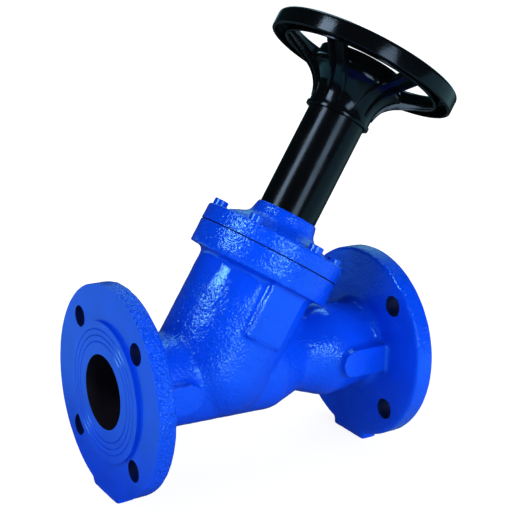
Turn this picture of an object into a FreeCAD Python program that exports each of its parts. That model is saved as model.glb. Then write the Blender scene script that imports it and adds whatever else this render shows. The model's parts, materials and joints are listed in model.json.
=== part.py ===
import FreeCAD, Part
import math
import os
import re
import Sketcher

# Flanged Y-pattern double regulating valve, DN65 PN16, in millimetres.
# The origin is the centre of the inlet flange's raised face. +X runs along the
# pipe towards the outlet and +Z is up. The stem leans towards the outlet.
# Everything on the stem is placed by its level: the distance along the stem
# axis from the point where that axis crosses the pipe axis.

SIZES = (
    # Pipe run and end flanges
    ("face_to_face", 290),
    ("bore_radius", 32.5),
    ("inlet_mouth_length", 40),
    ("outlet_mouth_length", 85),
    ("inlet_way_radius", 33),
    ("outlet_way_radius", 28),
    ("outlet_way_flare", 12),
    ("flange_radius", 92.5),
    ("flange_thickness", 20),
    ("flange_edge_round", 2),
    ("flange_root_round", 7),
    ("raised_face_radius", 61),
    ("raised_face_height", 3),
    ("face_groove_radius", 43.4),
    ("face_groove_pitch", 5.4),
    ("face_groove_width", 1.2),
    ("face_groove_depth", 0.6),
    ("bolt_circle_radius", 72.5),
    ("inlet_bolt_hole_radius", 9.5),
    ("outlet_bolt_hole_radius", 9.7),
    ("bolt_hole_count", 4),
    ("foot_level", 96.5),
    ("foot_half_width", 23),
    ("foot_root_depth", 14),
    ("foot_edge_round", 1.5),
    # Casting between the flanges
    ("inlet_run_radius", 40.8),
    ("belly_radius", 44.8),
    ("belly_place", 158),
    ("belly_round", 24),
    ("waist_radius", 33.4),
    ("waist_place", 190),
    ("waist_round", 12),
    ("bulge_radius", 44.9),
    ("bulge_place", 224),
    ("bulge_round", 30),
    ("outlet_run_radius", 38.6),
    ("tapping_pad_reach", 50),
    ("tapping_pad_half_width", 13.5),
    ("tapping_pad_length", 50),
    ("tapping_pad_depth", 24),
    ("tapping_pad_end_round", 13.2),
    ("label_pad_reach", 56.5),
    ("label_pad_left", 22),
    ("label_pad_right", 18),
    ("label_pad_height", 52),
    ("label_pad_depth", 14),
    # Stem axis, neck and seat
    ("stem_place", 103),
    ("stem_lean", 30),
    ("neck_radius", 54.2),
    ("neck_foot", 19),
    ("neck_foot_flat", 8.2),
    ("neck_blend", 9),
    ("neck_level", 119.4),
    ("neck_flange_radius", 67),
    ("neck_flange_thickness", 22),
    ("neck_flange_root", 5),
    ("neck_cavity_radius", 45),
    ("seat_level", 14),
    ("bridge_thickness", 10),
    ("seat_bore_radius", 29),
    ("seat_ring_wall", 5),
    ("seat_ring_lip_width", 3),
    ("seat_ring_lip_height", 2),
    # Bonnet and its screws
    ("gasket_thickness", 1),
    ("gasket_radius", 66),
    ("cover_thickness", 15),
    ("cover_edge_round", 1.5),
    ("spigot_depth", 7),
    ("spigot_clearance", 0.2),
    ("hub_foot_radius", 50),
    ("hub_foot_rise", 2.5),
    ("hub_foot_draft", 1),
    ("hub_corner_radius", 31.5),
    ("hub_corner_rise", 10),
    ("hub_flare_round", 8),
    ("hub_top_radius", 29),
    ("hub_height", 22.2),
    ("screw_count", 6),
    ("screw_circle_radius", 57.5),
    ("screw_radius", 4),
    ("screw_hole_clearance", 0.5),
    ("screw_head_radius", 6.5),
    ("screw_head_height", 8),
    ("screw_head_round", 0.8),
    ("screw_socket", 6),
    ("screw_socket_depth", 4),
    ("screw_grip", 12),
    ("spot_face_radius", 7.5),
    ("spot_face_depth", 2),
    ("tapped_hole_spare", 4),
    # Guide and spindle chamber inside the bonnet
    ("guide_length", 42),
    ("guide_wall", 9),
    ("guide_headroom", 3),
    ("chamber_floor", 6),
    ("chamber_radius", 15),
    ("chamber_clearance", 0.05),
    ("washer_thickness", 1.5),
    ("collar_radius", 14),
    ("collar_thickness", 5.9),
    ("axial_play", 0.05),
    ("gland_bush_length", 17),
    ("gland_nut_radius", 17),
    ("gland_nut_length", 12),
    ("gland_nut_across", 30),
    ("gland_nut_head", 6),
    ("gland_nut_clearance", 0.5),
    ("gland_groove_width", 3.2),
    ("gland_groove_depth", 2.5),
    ("gland_groove_inset", 3),
    # Sleeve tube over the spindle
    ("sleeve_radius", 27),
    ("sleeve_wall", 2.3),
    ("sleeve_length", 113),
    ("sleeve_socket_depth", 3),
    ("sleeve_socket_clearance", 0.1),
    ("sleeve_spigot_height", 16),
    ("top_bush_length", 10),
    ("top_bush_flange", 2),
    # Spindle and memory stop
    ("spindle_radius", 9),
    ("running_clearance", 0.05),
    ("spindle_end_level", 52),
    ("spindle_shoulder_level", 276),
    ("spindle_bore_clearance", 0.15),
    ("drive_square", 12),
    ("drive_square_length", 11.5),
    ("wheel_thread_radius", 6),
    ("wheel_stud_hole_clearance", 0.5),
    ("spindle_top_level", 300),
    ("stop_rod_radius", 3),
    ("stop_rod_end_level", 62.8),
    ("stop_rod_top_level", 286.5),
    ("stop_screw_radius", 3.95),
    ("stop_screw_length", 9.5),
    ("stop_screw_clearance", 0.1),
    ("stop_screw_socket", 4),
    ("stop_screw_socket_depth", 5),
    ("stop_travel", 12.5),
    ("stop_counterbore_spare", 2),
    # Plug and its trim
    ("plug_radius", 40),
    ("plug_rim_height", 12),
    ("plug_top_rise", 3.5),
    ("plug_edge_round", 2),
    ("plug_root_round", 6),
    ("plug_lift", 20),
    ("plug_hub_radius", 18),
    ("plug_hub_level", 105),
    ("plug_well_level", 30),
    ("plug_well_clearance", 1),
    ("plug_nut_radius", 13.5),
    ("plug_nut_length", 17),
    ("guide_clearance", 0.08),
    ("key_width", 6),
    ("key_sunk", 2.5),
    ("key_proud", 2.8),
    ("key_length", 24),
    ("key_drop", 5),
    ("key_clearance", 0.08),
    ("seal_inner_radius", 24),
    ("seal_outer_radius", 36.5),
    ("seal_thickness", 5),
    ("seal_proud", 1.5),
    ("cone_flange_radius", 27.5),
    ("cone_flange_height", 4),
    ("cone_nose_radius", 13),
    ("cone_nose_length", 17),
    ("cone_shoulder_radius", 23),
    ("cone_shoulder_rise", 7.6),
    ("cone_contour_round", 20),
    ("cone_screw_radius", 4),
    ("cone_screw_grip", 7),
    ("cone_screw_end_gap", 0.5),
    ("cone_screw_head_radius", 6.5),
    ("cone_screw_head_height", 8),
    # Handwheel
    ("wheel_radius", 89),
    ("rim_width", 16.5),
    ("rim_height", 16.1),
    ("rim_wall", 3),
    ("rim_round", 3.5),
    ("rim_edge_round", 1),
    ("rim_hollow_round", 2),
    ("rim_level", 301.4),
    ("arm_count", 6),
    ("arm_turn", 27.2),
    ("arm_width", 17),
    ("arm_rim_rise", 2),
    ("arm_thickness", 4.5),
    ("arm_rib_width", 2.4),
    ("arm_rib_proud", 3.4),
    ("arm_rib_start", 9),
    ("window_hub_radius", 45),
    ("trumpet_corner_level", 284),
    ("trumpet_round", 32),
    ("skirt_level", 255),
    ("skirt_clearance", 0.7),
    ("skirt_wall", 1.7),
    ("skirt_lip_height", 3),
    ("skirt_lip_proud", 1.3),
    ("skirt_depth", 28),
    ("wheel_boss_radius", 13.5),
    ("wheel_boss_height", 12),
    ("wheel_hub_radius", 42),
    ("wheel_hub_wall", 3.5),
    ("wheel_hub_top", 308.5),
    ("wheel_hub_root_rise", 3),
    ("wheel_hub_root_round", 5),
    ("wheel_hub_edge_round", 1.5),
    ("cap_collar_radius", 24),
    ("wheel_recess_radius", 17.5),
    ("wheel_washer_radius", 14),
    ("wheel_washer_thickness", 2),
    ("wheel_nut_across", 19),
    ("wheel_nut_height", 8),
    ("cap_clearance", 0.25),
    ("cap_height", 6.5),
    ("cap_dome", 2),
    ("cap_wall", 2.2),
    ("cap_edge_round", 1),
    # Amount by which a cut or a buried pad runs past the face that ends it
    ("overrun", 1),
)

# Levels on the stem, worked out from the sizes above
NECK_UNDERSIDE = "(neck_level - neck_flange_thickness)"
BRIDGE_UNDERSIDE = "(seat_level - bridge_thickness)"
SEAT_TOP = "(seat_level + seat_ring_lip_height)"
SEAT_RING_RADIUS = "(seat_bore_radius + seat_ring_wall)"
COVER_UNDERSIDE = "(neck_level + gasket_thickness)"
COVER_TOP = "(neck_level + gasket_thickness + cover_thickness)"
SCREW_SEAT = "(" + COVER_TOP + " - spot_face_depth)"
HUB_TOP = "(" + COVER_TOP + " + hub_height)"
SOCKET_FLOOR = "(" + HUB_TOP + " - sleeve_socket_depth)"
SPIGOT_TOP = "(" + SOCKET_FLOOR + " + sleeve_spigot_height)"
SLEEVE_BORE = "(sleeve_radius - sleeve_wall)"
SLEEVE_TOP = "(" + SOCKET_FLOOR + " + sleeve_length)"
GUIDE_FOOT = "(" + COVER_UNDERSIDE + " - guide_length)"
GUIDE_RADIUS = "(plug_hub_radius + guide_clearance)"
GUIDE_TOP = "(plug_hub_level + plug_lift + guide_headroom)"
CHAMBER_FLOOR = "(" + GUIDE_TOP + " + chamber_floor)"
COLLAR_FOOT = "(" + CHAMBER_FLOOR + " + washer_thickness + axial_play)"
COLLAR_TOP = "(" + COLLAR_FOOT + " + collar_thickness)"
UPPER_WASHER = "(" + COLLAR_TOP + " + axial_play)"
BUSH_FOOT = "(" + UPPER_WASHER + " + washer_thickness)"
BUSH_TOP = "(" + BUSH_FOOT + " + gland_bush_length)"
SPINDLE_HOLE = "(spindle_radius + running_clearance)"
STOP_BORE = "(stop_rod_radius + spindle_bore_clearance)"
STOP_THREAD = "(stop_screw_radius + stop_screw_clearance)"
SEAL_TOP = "(" + SEAT_TOP + " + seal_thickness)"
PLUG_FACE = "(" + SEAT_TOP + " + seal_proud)"
PLUG_TOP = "(" + PLUG_FACE + " + plug_rim_height)"
KEY_TOP = "(plug_hub_level - key_drop)"
CONE_NOSE = "(" + SEAT_TOP + " - cone_flange_height - cone_nose_length)"
RIM_INNER = "(wheel_radius - rim_width)"
RIM_TOP = "(rim_level + rim_height)"
SKIRT_BORE = "(sleeve_radius + skirt_clearance)"
SKIRT_RADIUS = "(" + SKIRT_BORE + " + skirt_wall)"
WHEEL_FLOOR = "(spindle_shoulder_level + wheel_boss_height)"
ARM_FOOT = "(rim_level + arm_rim_rise)"

doc = FreeCAD.newDocument("double_regulating_valve")
sheet = doc.addObject("Spreadsheet::Sheet", "sizes")
for row, (alias, value) in enumerate(SIZES, start=1):
    sheet.set("A%d" % row, alias)
    sheet.set("B%d" % row, str(value))
    sheet.setAlias("B%d" % row, alias)
doc.recompute()

ALIASES = {alias for alias, _ in SIZES}
PARTS = []


def bound(text):
    """Turn a formula of size names into an expression that reads the sheet."""
    return re.sub(r"[a-z_]+", lambda word: "sizes." + word[0] if word[0] in ALIASES else word[0], text)


def number(text):
    """Value of a formula of size names."""
    return float(sheet.evalExpression(bound(text).replace("sizes.", "")))


def constrain(sketch, kind, items, formula):
    index = sketch.addConstraint(Sketcher.Constraint(kind, *items, number(formula)))
    sketch.setExpression("Constraints[%d]" % index, bound(formula))


def pin(sketch, item, corner):
    """Hold a sketch point at two formulas, measured from the sketch's origin."""
    constrain(sketch, "DistanceX", (-1, 1, *item), corner[0])
    constrain(sketch, "DistanceY", (-1, 1, *item), corner[1])


def new_sketch(body, name, plane="XZ_Plane", on_stem=False, offset=None, turn=None):
    """Sketch on one of the body's own planes, turned onto the stem axis if asked."""
    sketch = body.newObject("Sketcher::SketchObject", name)
    support = [item for item in body.Origin.OriginFeatures if item.Role == plane][0]
    sketch.AttachmentSupport = [(support, "")]
    sketch.MapMode = "FlatFace"
    if on_stem:
        sketch.setExpression(".AttachmentOffset.Base.x", bound("stem_place"))
        sketch.setExpression(".AttachmentOffset.Rotation.Angle", bound("-stem_lean"))
    if offset:
        sketch.setExpression(".AttachmentOffset.Base.z", bound(offset))
    if turn:
        sketch.setExpression(".AttachmentOffset.Rotation.Angle", bound(turn))
    return sketch


def radial_sketch(body, name, turn, along="0", aside="0"):
    """Upright sketch turned about the body's Z axis and shifted along and aside of its own plane."""
    sketch = new_sketch(body, name)
    sketch.AttachmentOffset = FreeCAD.Placement(
        FreeCAD.Vector(), FreeCAD.Rotation(FreeCAD.Vector(0, 1, 0), 1))
    places = {"along": "(%s)" % along, "aside": "(%s)" % aside, "turn": "(%s * 1 deg)" % turn}
    east = "%(along)s * cos(%(turn)s) - %(aside)s * sin(%(turn)s)" % places
    north = "%(along)s * sin(%(turn)s) + %(aside)s * cos(%(turn)s)" % places
    sketch.setExpression(".AttachmentOffset.Base.x", bound(east))
    sketch.setExpression(".AttachmentOffset.Base.z", bound("-(%s)" % north))
    sketch.setExpression(".AttachmentOffset.Rotation.Angle", bound(turn))
    return sketch


def corner_arc(before, corner, after, radius):
    """Arc that rounds a corner: its two tangent points, centre and turning side."""
    towards = FreeCAD.Vector(before - corner).normalize()
    onward = FreeCAD.Vector(after - corner).normalize()
    half = towards.getAngle(onward) / 2
    reach = radius / math.tan(half)
    centre = corner + (towards + onward).normalize() * (radius / math.sin(half))
    left_turn = towards.cross(onward).z < 0
    return corner + towards * reach, corner + onward * reach, centre, left_turn


def outline(sketch, corners):
    """Closed outline through the corners, each (x, y) or (x, y, rounding radius)."""
    places = [FreeCAD.Vector(number(corner[0]), number(corner[1]), 0) for corner in corners]
    count = len(corners)
    arcs = {}
    for index, corner in enumerate(corners):
        if len(corner) == 3:
            before, after = places[index - 1], places[(index + 1) % count]
            arcs[index] = corner_arc(before, places[index], after, number(corner[2]))
    lines = []
    for index in range(count):
        following = (index + 1) % count
        start = arcs[index][1] if index in arcs else places[index]
        end = arcs[following][0] if following in arcs else places[following]
        lines.append(sketch.addGeometry(Part.LineSegment(start, end), False))
    for index, corner in enumerate(corners):
        arriving, leaving = lines[index - 1], lines[index]
        if index not in arcs:
            sketch.addConstraint(Sketcher.Constraint("Coincident", arriving, 2, leaving, 1))
            pin(sketch, (leaving, 1), corner)
            continue
        first, second, centre, left_turn = arcs[index]
        start, end = (first, second) if left_turn else (second, first)
        angles = [math.atan2(place.y - centre.y, place.x - centre.x) for place in (start, end)]
        circle = Part.Circle(centre, FreeCAD.Vector(0, 0, 1), number(corner[2]))
        arc = sketch.addGeometry(Part.ArcOfCircle(circle, *angles), False)
        point = sketch.addGeometry(Part.Point(places[index]), True)
        pin(sketch, (point, 1), corner)
        sketch.addConstraint(Sketcher.Constraint("PointOnObject", point, 1, arriving))
        sketch.addConstraint(Sketcher.Constraint("PointOnObject", point, 1, leaving))
        near, far = (1, 2) if left_turn else (2, 1)
        sketch.addConstraint(Sketcher.Constraint("Tangent", arriving, 2, arc, near))
        sketch.addConstraint(Sketcher.Constraint("Tangent", arc, far, leaving, 1))
        constrain(sketch, "Radius", (arc,), corner[2])


def circle(sketch, x, y, radius):
    place = FreeCAD.Vector(number(x), number(y), 0)
    shape = Part.Circle(place, FreeCAD.Vector(0, 0, 1), number(radius))
    index = sketch.addGeometry(shape, False)
    pin(sketch, (index, 3), (x, y))
    constrain(sketch, "Radius", (index,), radius)


def polygon(sketch, sides, across_flats):
    """Regular polygon about the sketch's origin, given by its width across flats."""
    corners = []
    for side in range(sides):
        angle = (side + 0.5) * 360 / sides
        reach = "(%s) / 2 / cos(%.6f deg)" % (across_flats, 180 / sides)
        corners.append(("%s * cos(%.6f deg)" % (reach, angle), "%s * sin(%.6f deg)" % (reach, angle)))
    outline(sketch, corners)


def feature(body, kind, name, sketch, **settings):
    item = body.newObject("PartDesign::" + kind, name)
    item.Profile = sketch
    for key, value in settings.items():
        if isinstance(value, str) and key in ("Length", "Length2", "Angle"):
            item.setExpression(key, bound(value))
        else:
            setattr(item, key, value)
    sketch.Visibility = False
    doc.recompute()
    return item


def turn_up(body, name, corners, kind="Revolution", axis="V_Axis", **place):
    """Revolve an outline fully about one of its sketch's own axes."""
    sketch = new_sketch(body, name + "_outline", **place)
    outline(sketch, corners)
    return feature(body, kind, name, sketch, ReferenceAxis=(sketch, [axis]), Angle=360.0)


def ring_pattern(body, name, features, count, axis):
    """Repeat features evenly about one of the body's own axes."""
    pattern = body.newObject("PartDesign::PolarPattern", name)
    pattern.Originals = features
    line = [item for item in body.Origin.OriginFeatures if item.Role == axis][0]
    pattern.Axis = (line, [""])
    pattern.Angle = 360
    pattern.setExpression("Occurrences", bound(count))
    body.Tip = pattern
    doc.recompute()
    return pattern


def new_body(name):
    body = doc.addObject("PartDesign::Body", name)
    body.Label = name
    PARTS.append(body)
    return body


def stem_body(name):
    """Body whose own Z axis is the stem axis, with levels as its heights."""
    body = new_body(name)
    body.Placement = FreeCAD.Placement(FreeCAD.Vector(), FreeCAD.Rotation(FreeCAD.Vector(0, 1, 0), 1))
    body.setExpression(".Placement.Base.x", bound("stem_place"))
    body.setExpression(".Placement.Rotation.Angle", bound("stem_lean"))
    return body


def turned(name, corners):
    """Stem piece that is one full turning."""
    body = stem_body(name)
    turn_up(body, name + "_turning", corners)
    return body


def rectangle(left, low, right, high):
    return [(left, low), (right, low), (right, high), (left, high)]


def round_edges(body, name, radius, chosen):
    """Fillet the edges of the body's present solid that the test accepts."""
    base = body.Tip
    edges = ["Edge%d" % (index + 1) for index, edge in enumerate(base.Shape.Edges) if chosen(edge)]
    rounding = body.newObject("PartDesign::Fillet", name)
    rounding.Base = (base, edges)
    rounding.setExpression("Radius", bound(radius))
    doc.recompute()
    return rounding


def make_valve_body():
    body = new_body("valve_body")
    outlet_inner = "(face_to_face - flange_thickness)"
    outlet_step = "(face_to_face - raised_face_height)"
    turn_up(body, "run", [
        ("0", "0"),
        ("0", "raised_face_radius"),
        ("raised_face_height", "raised_face_radius"),
        ("raised_face_height", "flange_radius"),
        ("flange_thickness", "flange_radius", "flange_edge_round"),
        ("flange_thickness", "inlet_run_radius", "flange_root_round"),
        ("belly_place", "belly_radius", "belly_round"),
        ("waist_place", "waist_radius", "waist_round"),
        ("bulge_place", "bulge_radius", "bulge_round"),
        (outlet_inner, "outlet_run_radius", "flange_root_round"),
        (outlet_inner, "flange_radius", "flange_edge_round"),
        (outlet_step, "flange_radius"),
        (outlet_step, "raised_face_radius"),
        ("face_to_face", "raised_face_radius"),
        ("face_to_face", "0"),
    ], axis="H_Axis")
    turn_up(body, "neck", [
        ("0", "neck_foot - neck_radius"),
        ("neck_radius", "neck_foot - neck_radius", "neck_radius - neck_foot_flat"),
        ("neck_radius", NECK_UNDERSIDE, "neck_flange_root"),
        ("neck_flange_radius", NECK_UNDERSIDE),
        ("neck_flange_radius", "neck_level"),
        ("0", "neck_level"),
    ], on_stem=True)
    blend_neck(body)
    add_feet(body)
    add_tapping_pads(body)
    add_label_pads(body)
    cut_passages(body)
    cut_flange_details(body)
    cut_screw_holes(body)
    return body


def blend_neck(body):
    """Cast fillet where the round foot of the neck runs into the pipe run."""
    def crossing(edge):
        return not isinstance(edge.Curve, (Part.Line, Part.Circle))

    return round_edges(body, "neck_blend_fillet", "neck_blend", crossing)


def add_pad_pair(body, name, draw, reach, depth, **place):
    """Raised pads on the two sides of the casting, from one drawing."""
    for side, sign in (("near", ""), ("far", "-")):
        sketch = new_sketch(body, name + "_" + side + "_outline", offset=sign + reach, **place)
        draw(sketch)
        feature(body, "Pad", name + "_" + side, sketch, Length=depth, Reversed=(sign == ""))


def add_tapping_pads(body):
    flange_back = "(face_to_face - flange_thickness)"

    def inlet(sketch):
        end = "(flange_thickness + tapping_pad_length)"
        outline(sketch, [
            ("flange_thickness - overrun", "-tapping_pad_half_width"),
            (end, "-tapping_pad_half_width", "tapping_pad_end_round"),
            (end, "tapping_pad_half_width", "tapping_pad_end_round"),
            ("flange_thickness - overrun", "tapping_pad_half_width"),
        ])

    def outlet(sketch):
        end = "(%s - tapping_pad_length)" % flange_back
        outline(sketch, [
            (end, "-tapping_pad_half_width", "tapping_pad_end_round"),
            (flange_back + " + overrun", "-tapping_pad_half_width"),
            (flange_back + " + overrun", "tapping_pad_half_width"),
            (end, "tapping_pad_half_width", "tapping_pad_end_round"),
        ])

    add_pad_pair(body, "inlet_tapping_pad", inlet, "tapping_pad_reach", "tapping_pad_depth")
    add_pad_pair(body, "outlet_tapping_pad", outlet, "tapping_pad_reach", "tapping_pad_depth")


def add_feet(body):
    """Cast foot under each flange, on which the valve stands."""
    for end, offset in (("inlet", "raised_face_height"), ("outlet", "face_to_face - flange_thickness")):
        sketch = new_sketch(body, end + "_foot_outline", "YZ_Plane", offset=offset)
        top = "-foot_level + foot_root_depth"
        outline(sketch, [
            ("-foot_half_width", "-foot_level", "foot_edge_round"),
            ("foot_half_width", "-foot_level", "foot_edge_round"),
            ("foot_half_width", top),
            ("-foot_half_width", top),
        ])
        feature(body, "Pad", end + "_foot", sketch, Length="flange_thickness - raised_face_height")


def add_label_pads(body):
    def plate(sketch):
        foot = "(%s - label_pad_height)" % NECK_UNDERSIDE
        outline(sketch, rectangle("-label_pad_left", foot, "label_pad_right", NECK_UNDERSIDE + " + overrun"))

    add_pad_pair(body, "label_pad", plate, "label_pad_reach", "label_pad_depth", on_stem=True)


def stem_plane(body, name, level):
    """Datum plane square to the stem at one level."""
    plane = body.newObject("PartDesign::Plane", name)
    support = [item for item in body.Origin.OriginFeatures if item.Role == "XY_Plane"][0]
    plane.AttachmentSupport = [(support, "")]
    plane.MapMode = "FlatFace"
    tilt = FreeCAD.Rotation(FreeCAD.Vector(0, 1, 0), 1)
    plane.AttachmentOffset = FreeCAD.Placement(FreeCAD.Vector(), tilt)
    lean = "stem_lean * 1 deg"
    plane.setExpression(".AttachmentOffset.Base.x", bound("stem_place + %s * sin(%s)" % (level, lean)))
    plane.setExpression(".AttachmentOffset.Base.z", bound("%s * cos(%s)" % (level, lean)))
    plane.setExpression(".AttachmentOffset.Rotation.Angle", bound("stem_lean"))
    doc.recompute()
    return plane


def cut_passages(body):
    """Turned mouths, cored ways on both sides of the seat bridge, seat throat and neck cavity."""
    mouth_end = "(face_to_face - outlet_mouth_length)"
    flare_end = "(%s - outlet_way_flare)" % mouth_end
    turn_up(body, "inlet_mouth", rectangle("-overrun", "0", "inlet_mouth_length", "bore_radius"),
            kind="Groove", axis="H_Axis")
    turn_up(body, "outlet_mouth", [
        (flare_end, "0"),
        (flare_end, "outlet_way_radius"),
        (mouth_end, "bore_radius"),
        ("face_to_face + overrun", "bore_radius"),
        ("face_to_face + overrun", "0"),
    ], kind="Groove", axis="H_Axis")
    under = stem_plane(body, "bridge_underside", BRIDGE_UNDERSIDE)
    over = stem_plane(body, "bridge_top", "seat_level")
    for end, start, bridge, inwards in (
        ("inlet", "inlet_mouth_length", under, True),
        ("outlet", flare_end, over, False),
    ):
        way = new_sketch(body, end + "_way_outline", "YZ_Plane", offset=start)
        circle(way, "0", "0", end + "_way_radius")
        feature(body, "Pocket", end + "_way", way, Type="UpToFace", UpToFace=(bridge, [""]),
                Reversed=inwards)
    turn_up(body, "neck_cavity", [
        ("0", BRIDGE_UNDERSIDE),
        (SEAT_RING_RADIUS, BRIDGE_UNDERSIDE),
        (SEAT_RING_RADIUS, "seat_level"),
        ("neck_cavity_radius", "seat_level"),
        ("neck_cavity_radius", "neck_level + overrun"),
        ("0", "neck_level + overrun"),
    ], kind="Groove", on_stem=True)


def cut_flange_details(body):
    """Bolt holes and the shallow sealing grooves of the raised faces."""
    for end, offset, inwards in (("inlet", "0", True), ("outlet", "face_to_face", False)):
        sketch = new_sketch(body, end + "_bolt_hole_outline", "YZ_Plane", offset=offset)
        diagonal = "bolt_circle_radius * cos(180 deg / bolt_hole_count)"
        circle(sketch, diagonal, diagonal.replace("cos", "sin"), end + "_bolt_hole_radius")
        hole = feature(body, "Pocket", end + "_bolt_hole", sketch,
                       Length="flange_thickness + overrun", Reversed=inwards)
        ring_pattern(body, end + "_bolt_holes", [hole], "bolt_hole_count", "X_Axis")
    for end, face, depth in (("inlet", "0", "face_groove_depth"),
                             ("outlet", "face_to_face", "face_to_face - face_groove_depth")):
        for ring in range(3):
            radius = "(face_groove_radius + %d * face_groove_pitch)" % ring
            name = "%s_face_groove_%d" % (end, ring + 1)
            turn_up(body, name, [
                (face, radius + " - face_groove_width / 2"),
                (depth, radius),
                (face, radius + " + face_groove_width / 2"),
            ], kind="Groove", axis="H_Axis")


def cut_screw_holes(body):
    """Blind tapped holes for the bonnet screws, each turned about its own axis."""
    depth = "(neck_level - screw_grip - tapped_hole_spare)"
    for index in range(int(number("screw_count"))):
        angle = "(%d + 0.5) * 360 deg / screw_count" % index
        sketch = new_sketch(body, "screw_hole_outline_%d" % (index + 1), "XY_Plane")
        tilt = FreeCAD.Rotation(FreeCAD.Vector(0, 1, 0), 1)
        sketch.AttachmentOffset = FreeCAD.Placement(FreeCAD.Vector(), tilt)
        sketch.setExpression(".AttachmentOffset.Base.x",
                             bound("stem_place + neck_level * sin(stem_lean * 1 deg)"))
        sketch.setExpression(".AttachmentOffset.Base.z", bound("neck_level * cos(stem_lean * 1 deg)"))
        sketch.setExpression(".AttachmentOffset.Rotation.Angle", bound("stem_lean"))
        circle(sketch, "screw_circle_radius * cos(%s)" % angle,
               "screw_circle_radius * sin(%s)" % angle, "screw_radius")
        feature(body, "Pocket", "screw_hole_%d" % (index + 1), sketch, Length="neck_level - " + depth)


def drill_ring(body, name, level, depth, radius, circle_radius, count):
    """Evenly spaced holes square to the stem, the first at half a step."""
    sketch = new_sketch(body, name + "_outline", "XY_Plane", offset=level)
    angle = "180 deg / " + count
    circle(sketch, "%s * cos(%s)" % (circle_radius, angle), "%s * sin(%s)" % (circle_radius, angle), radius)
    hole = feature(body, "Pocket", name + "_hole", sketch, Length=depth)
    return ring_pattern(body, name, [hole], count, "Z_Axis")


def make_bonnet():
    body = stem_body("bonnet")
    spigot = "(neck_cavity_radius - spigot_clearance)"
    spigot_foot = "(%s - spigot_depth)" % COVER_UNDERSIDE
    guide_outer = "(%s + guide_wall)" % GUIDE_RADIUS
    lip_bore = "(sleeve_radius + sleeve_socket_clearance)"
    nut_foot = "(%s - gland_nut_length)" % SPIGOT_TOP
    turn_up(body, "casting", [
        (GUIDE_RADIUS, GUIDE_FOOT),
        (guide_outer, GUIDE_FOOT),
        (guide_outer, spigot_foot),
        (spigot, spigot_foot),
        (spigot, COVER_UNDERSIDE),
        ("neck_flange_radius", COVER_UNDERSIDE),
        ("neck_flange_radius", COVER_TOP, "cover_edge_round"),
        ("hub_foot_radius", COVER_TOP),
        ("hub_foot_radius - hub_foot_draft", COVER_TOP + " + hub_foot_rise"),
        ("hub_corner_radius", COVER_TOP + " + hub_corner_rise", "hub_flare_round"),
        ("hub_top_radius", HUB_TOP),
        (lip_bore, HUB_TOP),
        (lip_bore, SOCKET_FLOOR),
        (SLEEVE_BORE, SOCKET_FLOOR),
        (SLEEVE_BORE, SPIGOT_TOP),
        ("gland_nut_radius", SPIGOT_TOP),
        ("gland_nut_radius", nut_foot),
        ("chamber_radius", nut_foot),
        ("chamber_radius", CHAMBER_FLOOR),
        (SPINDLE_HOLE, CHAMBER_FLOOR),
        (SPINDLE_HOLE, GUIDE_TOP),
        (GUIDE_RADIUS, GUIDE_TOP),
    ])
    drill_ring(body, "cover_holes", COVER_TOP, "cover_thickness + overrun",
               "screw_radius + screw_hole_clearance", "screw_circle_radius", "screw_count")
    drill_ring(body, "spot_faces", COVER_TOP, "spot_face_depth",
               "spot_face_radius", "screw_circle_radius", "screw_count")
    sketch = new_sketch(body, "keyway_outline", "XY_Plane", offset=GUIDE_FOOT)
    half = "(key_width / 2 + key_clearance)"
    outline(sketch, rectangle("0", "-" + half, GUIDE_RADIUS + " + key_proud + key_clearance", half))
    feature(body, "Pocket", "keyway", sketch, Length=GUIDE_TOP + " - " + GUIDE_FOOT, Reversed=True)
    return body


def make_bonnet_gasket():
    body = turned("bonnet_gasket", rectangle("neck_cavity_radius", "neck_level",
                                             "gasket_radius", COVER_UNDERSIDE))
    drill_ring(body, "gasket_holes", COVER_UNDERSIDE, "gasket_thickness * 2",
               "screw_radius + screw_hole_clearance", "screw_circle_radius", "screw_count")
    return body


def screw_profile(radius, end, seat, head_radius, top):
    """Half outline of a socket-head screw about its own axis."""
    return [
        ("0", end),
        (radius, end),
        (radius, seat),
        (head_radius, seat),
        (head_radius, top, "screw_head_round"),
        ("0", top),
    ]


def make_bonnet_screws():
    """One socket screw repeated round the cover, as separate solids of one node."""
    body = stem_body("bonnet_screws")
    body.AllowCompound = True
    top = "(%s + screw_head_height)" % SCREW_SEAT
    half_step = "180 / screw_count"
    shank = radial_sketch(body, "screw_outline", half_step, along="screw_circle_radius")
    outline(shank, screw_profile("screw_radius", "neck_level - screw_grip", SCREW_SEAT,
                                 "screw_head_radius", top))
    turning = feature(body, "Revolution", "screw_turning", shank,
                      ReferenceAxis=(shank, ["V_Axis"]), Angle=360.0)
    mouth = new_sketch(body, "screw_socket_outline", "XY_Plane", offset=top, turn=half_step)
    for side, wave in (("x", "cos"), ("y", "sin")):
        formula = "screw_circle_radius * %s(180 deg / screw_count)" % wave
        mouth.setExpression(".AttachmentOffset.Base." + side, bound(formula))
    polygon(mouth, 6, "screw_socket")
    socket = feature(body, "Pocket", "screw_socket_pocket", mouth, Length="screw_socket_depth")
    ring_pattern(body, "screw_ring", [turning, socket], "screw_count", "Z_Axis")


def make_seat_ring():
    return turned("seat_ring", [
        ("seat_bore_radius", BRIDGE_UNDERSIDE),
        (SEAT_RING_RADIUS, BRIDGE_UNDERSIDE),
        (SEAT_RING_RADIUS, "seat_level"),
        (SEAT_RING_RADIUS + " + seat_ring_lip_width", "seat_level"),
        (SEAT_RING_RADIUS + " + seat_ring_lip_width", SEAT_TOP),
        ("seat_bore_radius", SEAT_TOP),
    ])


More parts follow.
